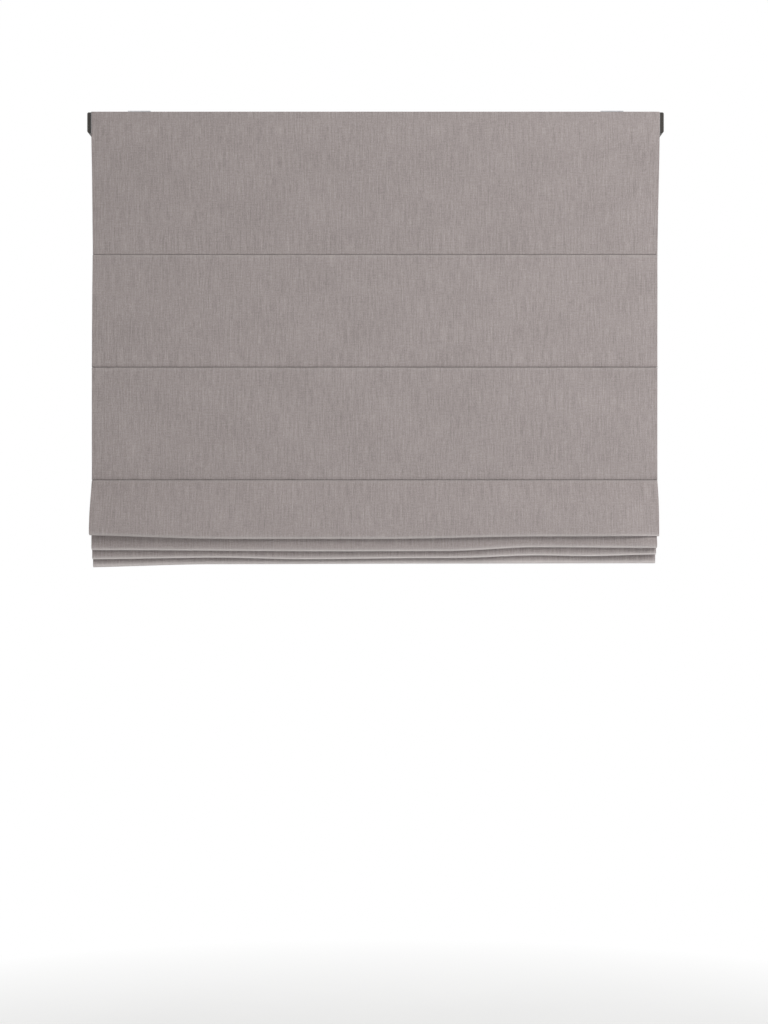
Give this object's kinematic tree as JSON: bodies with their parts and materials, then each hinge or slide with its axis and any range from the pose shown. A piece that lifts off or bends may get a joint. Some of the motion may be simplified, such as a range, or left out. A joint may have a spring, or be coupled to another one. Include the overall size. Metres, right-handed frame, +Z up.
{
  "type": "roman blind",
  "caption": "Cordless roman blind, half raised: flat woven cloth on rods in tucks, gathered into folds at the hem, hung from an aluminium headrail with a sprung lift shaft.",
  "frame": {"origin": "centre of the four fixing holes, on the top face of the brackets", "axes": "+X to the right as seen from the front, +Y to the back, +Z up"},
  "size_m": [0.914, 0.052, 0.7183],
  "materials": {
    "cloth": "matte woven taupe cloth with upright slubs",
    "aluminium": "satin mill finish",
    "steel": "zinc-plated",
    "dark_plastic": "fine matte, dark brown",
    "dark_screw": "blackened",
    "grey_plastic": "fine matte",
    "white_plastic": "satin",
    "ring": "gloss, slightly clear",
    "rod": "pultruded glass fibre",
    "cord": "braided",
    "tape": "touch-fastening tape"
  },
  "bodies": {
    "headrail": {"headrail": "aluminium", "end_cap_left": "dark_plastic", "end_cap_right": "dark_plastic", "cap_screws": "dark_screw", "bracket_left": "steel", "bracket_right": "steel", "hook_tape": "tape", "loop_tape": "tape", "cradle_left": "white_plastic", "cradle_center": "white_plastic", "cradle_right": "white_plastic", "spring_motor": "grey_plastic", "brake": "grey_plastic", "lift_cord_left": "cord", "lift_cord_center": "cord", "lift_cord_right": "cord", "fabric": "cloth"},
    "lift_shaft": {"lift_shaft": "steel", "spool_left": "white_plastic", "spool_center": "white_plastic", "spool_right": "white_plastic", "cord_windings": "cord"},
    "rib_1": {"rod_1": "rod", "rod_tips_1": "white_plastic", "rings_1": "ring"},
    "rib_2": {"rod_2": "rod", "rod_tips_2": "white_plastic", "rings_2": "ring"},
    "rib_3": {"rod_3": "rod", "rod_tips_3": "white_plastic", "rings_3": "ring"},
    "rib_4": {"rod_4": "rod", "rod_tips_4": "white_plastic", "rings_4": "ring"},
    "rib_5": {"rod_5": "rod", "rod_tips_5": "white_plastic", "rings_5": "ring"},
    "rib_6": {"rod_6": "rod", "rod_tips_6": "white_plastic", "rings_6": "ring", "cord_stops": "white_plastic", "bottom_bar": "aluminium", "bar_caps": "white_plastic"}
  },
  "joints": [
    {"name": "shaft_turn", "type": "hinge", "parent": "headrail", "child": "lift_shaft", "pos_m": [0, 0.005, -0.0207], "axis": [1, 0, 0], "range_deg": [-3068, 3068]},
    {"name": "rib_1_lift", "type": "slide", "parent": "headrail", "child": "rib_1", "axis": [0, 0, 1], "range_m": [0, 0.166], "deforming": ["fabric", "lift_cord_left", "lift_cord_center", "lift_cord_right"]},
    {"name": "rib_2_lift", "type": "slide", "parent": "rib_1", "child": "rib_2", "axis": [0, 0, 1], "range_m": [0, 0.166], "deforming": ["fabric", "lift_cord_left", "lift_cord_center", "lift_cord_right"]},
    {"name": "rib_3_lift", "type": "slide", "parent": "rib_2", "child": "rib_3", "axis": [0, 0, 1], "range_m": [0, 0.166], "deforming": ["fabric", "lift_cord_left", "lift_cord_center", "lift_cord_right"]},
    {"name": "rib_4_drop", "type": "slide", "parent": "rib_3", "child": "rib_4", "axis": [0, 0, 1], "range_m": [-0.166, 0], "deforming": ["fabric", "lift_cord_left", "lift_cord_center", "lift_cord_right"]},
    {"name": "rib_5_drop", "type": "slide", "parent": "rib_4", "child": "rib_5", "axis": [0, 0, 1], "range_m": [-0.166, 0], "deforming": ["fabric", "lift_cord_left", "lift_cord_center", "lift_cord_right"]},
    {"name": "rib_6_drop", "type": "slide", "parent": "rib_5", "child": "rib_6", "axis": [0, 0, 1], "range_m": [-0.166, 0], "deforming": ["fabric", "lift_cord_left", "lift_cord_center", "lift_cord_right"]}
  ]
}
